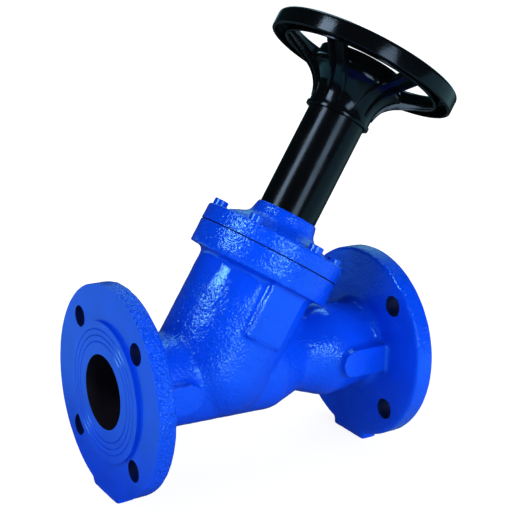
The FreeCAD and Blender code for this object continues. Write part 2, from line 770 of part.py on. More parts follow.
def make_plug():
    body = stem_body("plug")
    well = "(spindle_radius + plug_well_clearance)"
    nut_foot = "(plug_hub_level - plug_nut_length)"
    turn_up(body, "plug_turning", [
        ("cone_screw_radius", SEAL_TOP),
        ("seal_outer_radius", SEAL_TOP),
        ("seal_outer_radius", PLUG_FACE),
        ("plug_radius", PLUG_FACE),
        ("plug_radius", PLUG_TOP, "plug_edge_round"),
        ("plug_hub_radius", PLUG_TOP + " + plug_top_rise", "plug_root_round"),
        ("plug_hub_radius", "plug_hub_level"),
        ("plug_nut_radius", "plug_hub_level"),
        ("plug_nut_radius", nut_foot),
        (well, nut_foot),
        (well, "plug_well_level"),
        ("cone_screw_radius", "plug_well_level"),
    ])
    sketch = new_sketch(body, "key_seat_outline", "YZ_Plane", offset="plug_hub_radius + key_proud")
    outline(sketch, rectangle("-key_width / 2", KEY_TOP + " - key_length", "key_width / 2", KEY_TOP))
    feature(body, "Pocket", "key_seat", sketch, Length="key_proud + key_sunk")
    return body


def make_guide_key():
    body = stem_body("guide_key")
    sketch = new_sketch(body, "key_outline", "YZ_Plane", offset="plug_hub_radius - key_sunk")
    outline(sketch, rectangle("-key_width / 2", KEY_TOP + " - key_length", "key_width / 2", KEY_TOP))
    feature(body, "Pad", "key", sketch, Length="key_proud + key_sunk")
    return body


def make_plug_trim():
    """Thread nut, soft seal, contoured throttle cone and the screw that holds it."""
    turned("plug_nut", rectangle("spindle_radius + running_clearance", "plug_hub_level - plug_nut_length",
                                 "plug_nut_radius", "plug_hub_level"))
    turned("seal_ring", rectangle("seal_inner_radius", SEAT_TOP, "seal_outer_radius", SEAL_TOP))
    flange_foot = "(%s - cone_flange_height)" % SEAT_TOP
    head_seat = "(%s - cone_screw_grip)" % SEAL_TOP
    head_room = "(cone_screw_head_radius + screw_hole_clearance)"
    turned("throttle_cone", [
        ("cone_screw_radius", head_seat),
        (head_room, head_seat),
        (head_room, CONE_NOSE),
        ("cone_nose_radius", CONE_NOSE),
        ("cone_shoulder_radius", CONE_NOSE + " + cone_shoulder_rise", "cone_contour_round"),
        ("cone_flange_radius", flange_foot),
        ("cone_flange_radius", SEAT_TOP),
        ("seal_inner_radius", SEAT_TOP),
        ("seal_inner_radius", SEAL_TOP),
        ("cone_screw_radius", SEAL_TOP),
    ])
    make_cone_screw(head_seat)


def make_cone_screw(head_seat):
    """Screw with its head downwards: its own Z axis points down the stem."""
    body = new_body("cone_screw")
    top = "(cone_screw_head_height - %s)" % head_seat
    turn_up(body, "cone_screw_turning", screw_profile(
        "cone_screw_radius", "cone_screw_end_gap - plug_well_level", "-" + head_seat,
        "cone_screw_head_radius", top))
    mouth = new_sketch(body, "cone_screw_socket_outline", "XY_Plane", offset=top)
    polygon(mouth, 6, "screw_socket")
    feature(body, "Pocket", "cone_screw_socket_pocket", mouth, Length="screw_socket_depth")
    body.Placement = FreeCAD.Placement(FreeCAD.Vector(), FreeCAD.Rotation(FreeCAD.Vector(0, 1, 0), 1))
    body.setExpression(".Placement.Base.x", bound("stem_place"))
    body.setExpression(".Placement.Rotation.Angle", bound("180 + stem_lean"))


def make_spindle():
    body = stem_body("spindle")
    counterbore = "(stop_rod_top_level - stop_travel - stop_counterbore_spare)"
    turn_up(body, "spindle_turning", [
        (STOP_BORE, "spindle_end_level"),
        ("spindle_radius", "spindle_end_level"),
        ("spindle_radius", COLLAR_FOOT),
        ("collar_radius", COLLAR_FOOT),
        ("collar_radius", COLLAR_TOP),
        ("spindle_radius", COLLAR_TOP),
        ("spindle_radius", "spindle_shoulder_level"),
        ("wheel_thread_radius", "spindle_shoulder_level"),
        ("wheel_thread_radius", "spindle_top_level"),
        (STOP_THREAD, "spindle_top_level"),
        (STOP_THREAD, counterbore),
        (STOP_BORE, counterbore),
    ])
    sketch = new_sketch(body, "drive_square_outline", "XY_Plane", offset="spindle_shoulder_level")
    polygon(sketch, 4, "drive_square")
    circle(sketch, "0", "0", "wheel_thread_radius - overrun")
    feature(body, "Pad", "drive_square_block", sketch, Length="drive_square_length")
    return body


def make_gland():
    """Thrust washers, seal bush with its rings and the nut that holds them down."""
    rim = "(chamber_radius - chamber_clearance)"
    turned("lower_thrust_washer", rectangle(SPINDLE_HOLE, CHAMBER_FLOOR, rim,
                                            CHAMBER_FLOOR + " + washer_thickness"))
    turned("upper_thrust_washer", rectangle(SPINDLE_HOLE, UPPER_WASHER, rim, BUSH_FOOT))
    low = "(%s + gland_groove_inset)" % BUSH_FOOT
    high = "(%s - gland_groove_inset - gland_groove_width)" % BUSH_TOP
    middle = "((%s + %s) / 2 - gland_groove_width / 2)" % (BUSH_FOOT, BUSH_TOP)
    width = " + gland_groove_width"
    inner_floor = "(%s + gland_groove_depth)" % SPINDLE_HOLE
    outer_floor = "(%s - gland_groove_depth)" % rim
    turned("gland_bush", [
        (SPINDLE_HOLE, BUSH_FOOT),
        (rim, BUSH_FOOT),
        (rim, middle),
        (outer_floor, middle),
        (outer_floor, middle + width),
        (rim, middle + width),
        (rim, BUSH_TOP),
        (SPINDLE_HOLE, BUSH_TOP),
        (SPINDLE_HOLE, high + width),
        (inner_floor, high + width),
        (inner_floor, high),
        (SPINDLE_HOLE, high),
        (SPINDLE_HOLE, low + width),
        (inner_floor, low + width),
        (inner_floor, low),
        (SPINDLE_HOLE, low),
    ])
    make_seal_rings("spindle_seals", inner_floor, (low, high))
    make_seal_rings("bush_seal", rim, (middle,))
    bore = "(%s + gland_nut_clearance)" % SPINDLE_HOLE
    nut = turned("gland_nut", rectangle(bore, BUSH_TOP, "gland_nut_radius", SPIGOT_TOP))
    sketch = new_sketch(nut, "gland_nut_head_outline", "XY_Plane", offset=SPIGOT_TOP)
    polygon(sketch, 6, "gland_nut_across")
    circle(sketch, "0", "0", bore)
    feature(nut, "Pad", "gland_nut_head_block", sketch, Length="gland_nut_head")


def make_seal_rings(name, outer, levels):
    """Round-section rings in grooves of the gland bush, as solids of one node."""
    body = stem_body(name)
    body.AllowCompound = True
    sketch = new_sketch(body, name + "_outline")
    section = "gland_groove_depth / 2"
    for level in levels:
        circle(sketch, "%s - %s" % (outer, section), level + " + gland_groove_width / 2", section)
    feature(body, "Revolution", name + "_turning", sketch, ReferenceAxis=(sketch, ["V_Axis"]), Angle=360.0)


def make_sleeve():
    turned("sleeve_tube", rectangle(SLEEVE_BORE, SOCKET_FLOOR, "sleeve_radius", SLEEVE_TOP))
    turned("top_bush", [
        (SPINDLE_HOLE, SLEEVE_TOP + " - top_bush_length"),
        (SLEEVE_BORE, SLEEVE_TOP + " - top_bush_length"),
        (SLEEVE_BORE, SLEEVE_TOP),
        ("sleeve_radius", SLEEVE_TOP),
        ("sleeve_radius", SLEEVE_TOP + " + top_bush_flange"),
        (SPINDLE_HOLE, SLEEVE_TOP + " + top_bush_flange"),
    ])


def make_memory_stop():
    turned("stop_rod", rectangle("0", "stop_rod_end_level", "stop_rod_radius", "stop_rod_top_level"))
    top = "(stop_rod_top_level + stop_screw_length)"
    screw = turned("stop_screw", rectangle("0", "stop_rod_top_level", "stop_screw_radius", top))
    sketch = new_sketch(screw, "stop_screw_socket_outline", "XY_Plane", offset=top)
    polygon(sketch, 6, "stop_screw_socket")
    feature(screw, "Pocket", "stop_screw_socket_pocket", sketch, Length="stop_screw_socket_depth")


def make_handwheel():
    """Moulded wheel: skirt, trumpet-shaped hub, ribbed arms and a hollow rim."""
    body = stem_body("handwheel")
    lip_top = "(skirt_level + skirt_lip_height)"
    ceiling = "(skirt_level + skirt_depth)"
    hub_foot = "(trumpet_corner_level + arm_thickness + wheel_hub_root_rise)"
    turn_up(body, "wheel_turning", [
        (SKIRT_BORE, "skirt_level"),
        (SKIRT_RADIUS + " + skirt_lip_proud", "skirt_level"),
        (SKIRT_RADIUS + " + skirt_lip_proud", lip_top),
        (SKIRT_RADIUS, lip_top + " + skirt_lip_proud / 2"),
        (SKIRT_RADIUS, "trumpet_corner_level", "trumpet_round"),
        (RIM_INNER, ARM_FOOT),
        (RIM_INNER, "rim_level"),
        (RIM_INNER + " + rim_wall", "rim_level"),
        (RIM_INNER + " + rim_wall", RIM_TOP + " - rim_wall", "rim_hollow_round"),
        ("wheel_radius - rim_wall", RIM_TOP + " - rim_wall", "rim_hollow_round"),
        ("wheel_radius - rim_wall", "rim_level"),
        ("wheel_radius", "rim_level", "rim_edge_round"),
        ("wheel_radius", RIM_TOP, "rim_round"),
        (RIM_INNER, RIM_TOP, "rim_round"),
        (RIM_INNER, ARM_FOOT + " + arm_thickness"),
        ("wheel_hub_radius", hub_foot, "wheel_hub_root_round"),
        ("wheel_hub_radius", "wheel_hub_top", "wheel_hub_edge_round"),
        ("wheel_hub_radius - wheel_hub_wall", "wheel_hub_top"),
        ("wheel_hub_radius - wheel_hub_wall", hub_foot),
        ("cap_collar_radius", hub_foot),
        ("cap_collar_radius", "wheel_hub_top"),
        ("wheel_recess_radius", "wheel_hub_top"),
        ("wheel_recess_radius", WHEEL_FLOOR),
        ("wheel_thread_radius - overrun", WHEEL_FLOOR),
        ("wheel_thread_radius - overrun", "spindle_shoulder_level"),
        ("wheel_boss_radius", "spindle_shoulder_level"),
        ("wheel_boss_radius", ceiling),
        (SKIRT_BORE, ceiling),
    ])
    cut_windows(body)
    add_arm_ribs(body)
    sketch = new_sketch(body, "drive_hole_outline", "XY_Plane", offset="spindle_shoulder_level")
    polygon(sketch, 4, "drive_square")
    feature(body, "Pocket", "drive_hole", sketch, Length="wheel_boss_height", Reversed=True)
    return body


def cut_windows(body):
    """One opening between two arms, repeated: bounded by both arms, hub and rim."""
    sketch = new_sketch(body, "window_outline", "XY_Plane", offset="trumpet_corner_level - trumpet_round",
                        turn="arm_turn")
    along = "(cos(360 deg / arm_count))"
    across = "(sin(360 deg / arm_count))"
    near_hub = "window_hub_radius"
    far = RIM_INNER
    half = "(arm_width / 2)"
    first = ["sqrt(%s * %s - %s * %s)" % (reach, reach, half, half) for reach in (near_hub, far)]
    corners = []
    for reach in first:
        corners.append((reach, half))
    mirrored = []
    for reach in reversed(first):
        mirrored.append(("%s * %s + %s * %s" % (along, reach, across, half),
                         "%s * %s - %s * %s" % (across, reach, along, half)))
    window(sketch, corners + mirrored, near_hub, far)
    height = RIM_TOP + " - trumpet_corner_level + trumpet_round + overrun"
    opening = feature(body, "Pocket", "window", sketch, Length=height, Reversed=True)
    ring_pattern(body, "windows", [opening], "arm_count", "Z_Axis")


def window(sketch, corners, inner, outer):
    """Two straight sides joined by arcs about the wheel's axis."""
    places = [FreeCAD.Vector(number(x), number(y), 0) for x, y in corners]
    hub_near, rim_near, rim_far, hub_far = places
    sides = [sketch.addGeometry(Part.LineSegment(hub_near, rim_near), False),
             sketch.addGeometry(Part.LineSegment(rim_far, hub_far), False)]
    up = FreeCAD.Vector(0, 0, 1)
    arcs = []
    for radius, start, end in ((outer, rim_near, rim_far), (inner, hub_near, hub_far)):
        angles = (math.atan2(start.y, start.x), math.atan2(end.y, end.x))
        ring = Part.Circle(FreeCAD.Vector(), up, number(radius))
        arcs.append(sketch.addGeometry(Part.ArcOfCircle(ring, *angles), False))
    for item, corner in zip(((sides[0], 1), (sides[0], 2), (sides[1], 1), (sides[1], 2)), corners):
        pin(sketch, item, corner)
    for first, second in (((sides[0], 2), (arcs[0], 1)), ((arcs[0], 2), (sides[1], 1)),
                          ((sides[1], 2), (arcs[1], 2)), ((arcs[1], 1), (sides[0], 1))):
        sketch.addConstraint(Sketcher.Constraint("Coincident", *first, *second))
    for arc, radius in zip(arcs, (outer, inner)):
        constrain(sketch, "Radius", (arc,), radius)


def add_arm_ribs(body):
    """Two thin ribs under each arm, from the skirt along the trumpet to the rim."""
    shift = "(arm_width / 2 - arm_rib_width / 2)"
    ribs = []
    for side, sign in (("left", ""), ("right", "-")):
        sketch = radial_sketch(body, "rib_%s_outline" % side, "arm_turn", aside=sign + shift)
        outline(sketch, [
            ("%s - skirt_wall / 2" % SKIRT_RADIUS, "skirt_level + arm_rib_start"),
            (SKIRT_RADIUS, "skirt_level + arm_rib_start"),
            ("%s + arm_rib_proud" % SKIRT_RADIUS, "trumpet_corner_level - arm_rib_proud", "trumpet_round"),
            (RIM_INNER + " + rim_wall / 2", ARM_FOOT + " - arm_rib_proud / 2"),
            (RIM_INNER + " + rim_wall / 2", ARM_FOOT + " + arm_thickness / 2"),
            ("%s - skirt_wall / 2" % SKIRT_RADIUS, "trumpet_corner_level + arm_thickness / 2"),
        ])
        rib = feature(body, "Pad", "rib_" + side, sketch, Length="arm_rib_width", Midplane=True)
        ribs.append(rib)
    ring_pattern(body, "arm_ribs", ribs, "arm_count", "Z_Axis")


def make_wheel_fixings():
    top = "(%s + wheel_washer_thickness)" % WHEEL_FLOOR
    turned("wheel_washer", rectangle("wheel_thread_radius + wheel_stud_hole_clearance", WHEEL_FLOOR,
                                     "wheel_washer_radius", top))
    nut = stem_body("wheel_nut")
    sketch = new_sketch(nut, "wheel_nut_outline", "XY_Plane", offset=top)
    polygon(sketch, 6, "wheel_nut_across")
    circle(sketch, "0", "0", "wheel_thread_radius")
    feature(nut, "Pad", "wheel_nut_block", sketch, Length="wheel_nut_height")
    cap_radius = "(wheel_recess_radius - cap_clearance)"
    cap_foot = "(wheel_hub_top - cap_height + cap_wall)"
    turned("centre_cap", [
        (cap_radius + " - cap_wall", cap_foot),
        (cap_radius, cap_foot),
        (cap_radius, "wheel_hub_top + cap_dome / 2", "cap_edge_round"),
        ("0", "wheel_hub_top + cap_dome"),
        ("0", "wheel_hub_top + cap_dome - cap_wall"),
        (cap_radius + " - cap_wall", "wheel_hub_top + cap_dome - cap_wall"),
    ])


def check_and_export():
    """Refuse a failed feature or a bad solid, then write each piece's file."""
    doc.recompute()
    for item in doc.Objects:
        if "Invalid" in item.State or "Error" in item.State:
            raise RuntimeError("%s failed: %s" % (item.Label, item.State))
    os.makedirs("parts", exist_ok=True)
    for piece in PARTS:
        shape = piece.Shape
        if shape.isNull() or not shape.isValid() or not shape.Solids:
            raise RuntimeError("%s has no valid solid" % piece.Label)
        shape.exportStep(os.path.join("parts", piece.Label + ".step"))
        print("%-22s solids %d volume %.1f" % (piece.Label, len(shape.Solids), shape.Volume))


make_valve_body()
make_seat_ring()
make_bonnet_gasket()
make_bonnet()
make_bonnet_screws()
make_plug()
make_guide_key()
make_plug_trim()
make_spindle()
make_gland()
make_sleeve()
make_handwheel()
make_wheel_fixings()
make_memory_stop()
check_and_export()
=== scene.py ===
import json
import math

import bpy
from mathutils import Matrix, Vector

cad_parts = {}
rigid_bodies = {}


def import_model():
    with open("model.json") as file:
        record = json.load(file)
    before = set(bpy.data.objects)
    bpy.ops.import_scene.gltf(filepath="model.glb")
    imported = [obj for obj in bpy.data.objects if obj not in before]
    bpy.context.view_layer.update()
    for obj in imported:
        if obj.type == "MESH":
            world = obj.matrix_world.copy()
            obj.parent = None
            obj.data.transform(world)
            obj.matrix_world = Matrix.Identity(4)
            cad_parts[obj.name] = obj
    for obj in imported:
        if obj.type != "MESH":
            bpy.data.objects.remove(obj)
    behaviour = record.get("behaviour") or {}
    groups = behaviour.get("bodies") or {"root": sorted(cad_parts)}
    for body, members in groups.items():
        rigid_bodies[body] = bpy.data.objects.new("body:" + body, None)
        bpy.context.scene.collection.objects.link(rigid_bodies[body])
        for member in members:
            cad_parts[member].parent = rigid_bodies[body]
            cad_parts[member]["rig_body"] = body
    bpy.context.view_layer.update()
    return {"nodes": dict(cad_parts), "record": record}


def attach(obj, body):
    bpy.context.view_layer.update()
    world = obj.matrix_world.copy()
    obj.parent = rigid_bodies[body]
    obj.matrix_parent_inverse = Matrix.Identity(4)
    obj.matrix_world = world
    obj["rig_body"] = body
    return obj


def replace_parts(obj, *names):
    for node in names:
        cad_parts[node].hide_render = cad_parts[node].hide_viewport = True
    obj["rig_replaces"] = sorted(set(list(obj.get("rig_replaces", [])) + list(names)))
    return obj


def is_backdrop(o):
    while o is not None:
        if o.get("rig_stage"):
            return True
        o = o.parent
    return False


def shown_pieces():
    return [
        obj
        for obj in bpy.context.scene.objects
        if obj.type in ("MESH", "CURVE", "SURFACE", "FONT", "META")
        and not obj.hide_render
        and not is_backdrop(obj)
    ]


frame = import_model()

bl_info = {
    "name": "Double regulating valve",
    "version": (1, 0, 0),
    "blender": (4, 5, 0),
    "location": "View3D > Sidebar > Valve",
    "description": "Dresses the packed valve with its castings, paint, mouldings and studio",
    "category": "Object",
}

NODES = frame["nodes"]
SLOTS = {row["node"]: row["material_slot"] for row in frame["record"]["subparts"]}

# The stem leans from the pipe's axis, in the plane of X and Z
STEM_FOOT = Vector((0.103, 0.0, 0.0))
STEM_LEAN = math.radians(30.0)
STEM_AXIS = Vector((math.sin(STEM_LEAN), 0.0, math.cos(STEM_LEAN)))
STEM_ACROSS = Vector((math.cos(STEM_LEAN), 0.0, -math.sin(STEM_LEAN)))

# Sizes of the castings where their machined places are
PIPE_LENGTH = 0.29
FLANGE_RADIUS = 0.0925
FLANGE_THICKNESS = 0.02
BOLT_CIRCLE = 0.0725
NECK_LEVEL = 0.1194
NECK_FLANGE_RADIUS = 0.067
SCREW_CIRCLE = 0.0575
FOOT_LEVEL = -0.0965
COVER_THICKNESS = 0.016
SLEEVE_SPIGOT_RADIUS = 0.0275

# Stock on the machined places of a rough casting, before its skin is made
STOCK = 0.002
STOCK_ROOT = 0.006
HOLE_PLUG_RADIUS = 0.0115
HOLE_PLUG_SET_BACK = 0.001
SCREW_PLUG_RADIUS = 0.0075

# Regions that are cut back to the exact model, a little larger than the machined places
OVERRUN = 0.006
BORE_OVERRUN = 0.005
FLANGE_REGION_RADIUS = 0.097
FACE_REGION_DEPTH = 0.0034
RIM_REGION_INSET = 0.004
RIM_REGION_MARGIN = 0.0015
HOLE_REGION_RADIUS = 0.0102
HOLE_REGION_MARGIN = 0.004
NECK_REGION_RADIUS = 0.072
CAVITY_REGION_RADIUS = 0.047
CAVITY_REGION_FOOT = 0.004
SCREW_REGION_RADIUS = 0.0081

# Radius, start and end of the regions of the ways, along the pipe
WAY_REGIONS = (
    (0.036, -BORE_OVERRUN, 0.11),
    (0.0305, 0.08, 0.21),
    (0.034, 0.2, PIPE_LENGTH + BORE_OVERRUN),
)

# Places of a material in the list of a casting
CAST_FACE = 0
MACHINED_FACE = 1
INSIDE_FACE = 2
# Bolt hole walls take the blue paint darkened to a tenth: painted shade for the depth of the holes
HOLE_SHADE_FACE = 3

# Tint of the reflections in the blue paint and in the black mouldings
PAINT_SHEEN = (0.3, 0.92, 1.0, 1.0)
BLACK_SHEEN = (0.5, 0.72, 1.0, 1.0)

# The studio: what its lights aim at, and where the floor's tones begin and end
STUDIO_MIDDLE = Vector((PIPE_LENGTH / 2.0, 0.0, 0.08))
SHADOW_FADE = (0.3, 0.9)
BEHIND_FADE = (0.16, 0.24)
FRONT_FADE = (0.0, 0.35)

# What gloss sees of the studio: a dark room, paler and cooler behind and on the floor
GLOSS_DARK = (0.03, 0.05, 0.06)
GLOSS_PALE = (0.2, 0.55, 0.65)
GLOSS_FRONT = (0.3, 0.6, 0.65)

# The camera of the photograph, fitted to the pipe's frame
CAMERA_PLACE = Vector((-0.399343, -0.800560, 0.385634))
CAMERA_LENS = 80.3
CAMERA_SENSOR = 36.0
CAMERA_HEADING = math.radians(-34.4)
CAMERA_DROP = math.radians(-16.29)
CAMERA_ROLL = math.radians(2.7)


# Settings that a user would change
class ValveLook(bpy.types.PropertyGroup):
    paint: bpy.props.FloatVectorProperty(
        name="Paint",
        description="Blue of the cast parts",
        default=(0.001, 0.053, 0.75),
        subtype="COLOR",
        min=0.0,
        max=1.0,
    )
    paint_roughness: bpy.props.FloatProperty(
        name="Paint roughness",
        description="Roughness of the gloss paint on the castings",
        default=0.1,
        min=0.0,
        max=1.0,
        subtype="FACTOR",
    )
    cast_grain: bpy.props.FloatProperty(
        name="Cast grain",
        description="Depth of the grain that the paint leaves on a casting",
        default=0.00055,
        min=0.0,
        unit="LENGTH",
    )
    moulding: bpy.props.FloatVectorProperty(
        name="Moulding",
        description="Black of the wheel and of the sleeve",
        default=(0.0015, 0.0018, 0.0025),
        subtype="COLOR",
        min=0.0,
        max=1.0,
    )
    smooth_angle: bpy.props.FloatProperty(
        name="Smooth angle",
        description="Edges flatter than this are shaded smooth",
        default=math.radians(32.0),
        subtype="ANGLE",
    )
    weld: bpy.props.FloatProperty(
        name="Weld distance",
        description="Corners of a copied node nearer than this are merged",
        default=0.000002,
        min=0.0,
        unit="LENGTH",
    )


class ValveStage(bpy.types.PropertyGroup):
    floor_level: bpy.props.FloatProperty(
        name="Floor level",
        description="Height of the floor under the cast feet",
        default=FOOT_LEVEL,
        unit="LENGTH",
    )
    floor_size: bpy.props.FloatProperty(
        name="Floor size",
        description="Side of the square floor",
        default=8.0,
        unit="LENGTH",
    )
    floor_glow: bpy.props.FloatProperty(
        name="Floor glow",
        description="Share of plain white in the floor under the object",
        default=0.7,
        min=0.0,
        max=1.0,
        subtype="FACTOR",
    )
    fill: bpy.props.FloatProperty(
        name="Fill",
        description="Strength of the room light that softens the shadows",
        default=0.16,
        min=0.0,
    )
    left_power: bpy.props.FloatProperty(
        name="Left softbox",
        description="Power of the softbox that faces the inlet",
        default=11.5,
        min=0.0,
        unit="POWER",
    )
    front_power: bpy.props.FloatProperty(
        name="Front softbox",
        description="Power of the softbox beside the camera",
        default=7.5,
        min=0.0,
        unit="POWER",
    )
    left_fill: bpy.props.FloatProperty(
        name="Left fill",
        description="Power of the wide light at the left, which gloss doesn't show",
        default=6.0,
        min=0.0,
        unit="POWER",
    )
    right_fill: bpy.props.FloatProperty(
        name="Right fill",
        description="Power of the wide light at the right, which gloss doesn't show",
        default=46.0,
        min=0.0,
        unit="POWER",
    )
    top_power: bpy.props.FloatProperty(
        name="Top softbox",
        description="Power of the softbox overhead",
        default=7.0,
        min=0.0,
        unit="POWER",
    )


# Small helpers
def select_only(*objects):
    if bpy.context.object is not None and bpy.context.object.mode != "OBJECT":
        bpy.ops.object.mode_set(mode="OBJECT")
    bpy.ops.object.select_all(action="DESELECT")
    for item in objects:
        item.select_set(True)
    bpy.context.view_layer.objects.active = objects[-1]


def edit_all(item):
    select_only(item)
    bpy.ops.object.mode_set(mode="EDIT")
    bpy.ops.mesh.select_all(action="SELECT")


def leave_edit():
    bpy.ops.object.mode_set(mode="OBJECT")


def merged_copy(node, piece_name):
    source = NODES[node]
    piece = source.copy()
    piece.data = source.data.copy()
    piece.name = piece_name
    piece.data.name = piece_name
    for key in list(piece.keys()):
        del piece[key]
    piece.parent = None
    piece.data.materials.clear()
    bpy.context.scene.collection.objects.link(piece)
    for layer in list(piece.data.uv_layers):
        piece.data.uv_layers.remove(layer)
    edit_all(piece)
    bpy.ops.mesh.remove_doubles(threshold=bpy.context.scene.valve_look.weld)
    if piece.data.has_custom_normals:
        leave_edit()
        bpy.ops.mesh.customdata_custom_splitnormals_clear()
    leave_edit()
    return piece


def apply_modifiers(piece):
    select_only(piece)
    for modifier in list(piece.modifiers):
        bpy.ops.object.modifier_apply(modifier=modifier.name)


def smooth(piece):
    select_only(piece)
    bpy.ops.object.shade_smooth_by_angle(angle=bpy.context.scene.valve_look.smooth_angle)


def soften_edges(piece, width):
    bevel = piece.modifiers.new("Edge", "BEVEL")
    bevel.width = width
    bevel.segments = 2
    bevel.limit_method = "ANGLE"
    bevel.angle_limit = math.radians(35.0)
    bevel.use_clamp_overlap = True
    bevel.miter_outer = "MITER_SHARP"
    apply_modifiers(piece)


def merge_flats(piece):
    edit_all(piece)
    bpy.ops.mesh.dissolve_limited(angle_limit=math.radians(1.0))
    leave_edit()


def round_bar(radius, start, end, on_stem=False, beside=(0.0, 0.0), sides=96):
    """Closed cylinder along the pipe, or along the stem where levels are its ends."""
    middle = (start + end) / 2.0
    if on_stem:
        place = STEM_FOOT + STEM_AXIS * middle + STEM_ACROSS * beside[0] + Vector((0.0, beside[1], 0.0))
        turn = (0.0, STEM_LEAN, 0.0)
    else:
        place = Vector((middle, beside[0], beside[1]))
        turn = (0.0, math.radians(90.0), 0.0)
    bpy.ops.object.select_all(action="DESELECT")
    bpy.ops.mesh.primitive_cylinder_add(vertices=sides, radius=radius, depth=end - start,
                                        location=place, rotation=turn)
    bpy.ops.object.transform_apply(location=True, rotation=True, scale=True)
    return bpy.context.object


def fuse_loosely(piece, *others):
    """Join closed shapes that may overlap. The voxel skin over them is one body."""
    select_only(*others, piece)
    bpy.ops.object.join()
    return piece


def cut(piece, tool):
    modifier = piece.modifiers.new("Cut", "BOOLEAN")
    modifier.operation = "DIFFERENCE"
    modifier.solver = "MANIFOLD"
    modifier.object = tool
    apply_modifiers(piece)


def remove(*items):
    for item in items:
        bpy.data.objects.remove(item)


def machine(piece, region, model):
    """Inside the region, cut the rough piece back to the exact model."""
    cut(region, model)
    cut(piece, region)
    remove(region)


def cast_skin(piece, voxel, softening, unevenness):
    """Skin of a sand casting: one closed body, softened and slightly uneven."""
    skin = piece.modifiers.new("Skin", "REMESH")
    skin.mode = "VOXEL"
    skin.voxel_size = voxel
    soft = piece.modifiers.new("Soften", "SMOOTH")
    soft.factor = 0.5
    soft.iterations = softening
    texture = bpy.data.textures.new(piece.name + "_sand", "CLOUDS")
    texture.noise_scale = 0.009
    texture.noise_depth = 2
    sand = piece.modifiers.new("Sand", "DISPLACE")
    sand.texture = texture
    sand.texture_coords = "LOCAL"
    sand.strength = unevenness
    sand.mid_level = 0.8
    apply_modifiers(piece)


def finish_piece(piece, node, slot, material=None):
    smooth(piece)
    if material is not None:
        piece.data.materials.clear()
        piece.data.materials.append(material)
    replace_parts(piece, node)
    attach(piece, NODES[node]["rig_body"])
    return piece


def dress(node, slot, material, edge=0.0):
    piece = merged_copy(node, node + "_finished")
    if edge > 0.0:
        merge_flats(piece)
        soften_edges(piece, edge)
    return finish_piece(piece, node, slot, material)


# Materials
def new_material(name, colour, roughness, metallic=0.0, specular=0.5):
    material = bpy.data.materials.new(name)
    material.use_nodes = True
    shader = material.node_tree.nodes["Principled BSDF"]
    shader.inputs["Base Color"].default_value = (*colour, 1.0)
    shader.inputs["Roughness"].default_value = roughness
    shader.inputs["Metallic"].default_value = metallic
    shader.inputs["Specular IOR Level"].default_value = specular
    return material


def add_node(material, kind, **inputs):
    node = material.node_tree.nodes.new(kind)
    for key, value in inputs.items():
        node.inputs[key].default_value = value
    return node


def join_nodes(material, source, target):
    material.node_tree.links.new(target, source)


def coordinates(material):
    node = material.node_tree.nodes.get("Place")
    if node is None:
        node = material.node_tree.nodes.new("ShaderNodeTexCoord")
        node.name = "Place"
    return node.outputs["Object"]


def noise(material, scale, detail=2.0, roughness=0.5, stretch=None):
    node = add_node(material, "ShaderNodeTexNoise", Scale=scale, Detail=detail, Roughness=roughness)
    place = coordinates(material)
    if stretch is not None:
        mapping = material.node_tree.nodes.new("ShaderNodeMapping")
        mapping.inputs["Rotation"].default_value = stretch[0]
        mapping.inputs["Scale"].default_value = stretch[1]
        join_nodes(material, place, mapping.inputs["Vector"])
        place = mapping.outputs["Vector"]
    join_nodes(material, place, node.inputs["Vector"])
    return node.outputs["Fac"]


def ramp(material, source, stops):
    node = material.node_tree.nodes.new("ShaderNodeValToRGB")
    elements = node.color_ramp.elements
    while len(elements) < len(stops):
        elements.new(0.5)
    for element, (place, colour) in zip(elements, stops):
        element.position = place
        element.color = (*colour, 1.0)
    join_nodes(material, source, node.inputs["Fac"])
    return node.outputs["Color"]


def level(material, source, low, high, out_low=0.0, out_high=1.0):
    node = material.node_tree.nodes.new("ShaderNodeMapRange")
    node.inputs["From Min"].default_value = low
    node.inputs["From Max"].default_value = high
    node.inputs["To Min"].default_value = out_low
    node.inputs["To Max"].default_value = out_high
    join_nodes(material, source, node.inputs["Value"])
    return node.outputs["Result"]


def combine(material, kind, first, second):
    node = material.node_tree.nodes.new("ShaderNodeMath")
    node.operation = kind
    for socket, value in zip(node.inputs, (first, second)):
        if isinstance(value, (int, float)):
            socket.default_value = value
        else:
            join_nodes(material, value, socket)
    return node.outputs["Value"]


def blend_colours(material, factor, first, second):
    node = material.node_tree.nodes.new("ShaderNodeMix")
    node.data_type = "RGBA"
    join_nodes(material, factor, node.inputs[0])
    for socket, value in ((node.inputs[6], first), (node.inputs[7], second)):
        if isinstance(value, tuple):
            socket.default_value = (*value, 1.0)
        else:
            join_nodes(material, value, socket)
    return node.outputs[2]


def set_bump(material, height, distance, strength):
    node = add_node(material, "ShaderNodeBump", Strength=strength, Distance=distance)
    join_nodes(material, height, node.inputs["Height"])
    shader = material.node_tree.nodes["Principled BSDF"]
    join_nodes(material, node.outputs["Normal"], shader.inputs["Normal"])


def shader_socket(material, name):
    return material.node_tree.nodes["Principled BSDF"].inputs[name]


def tinted(colour, factor):
    return tuple(min(1.0, part * factor) for part in colour)


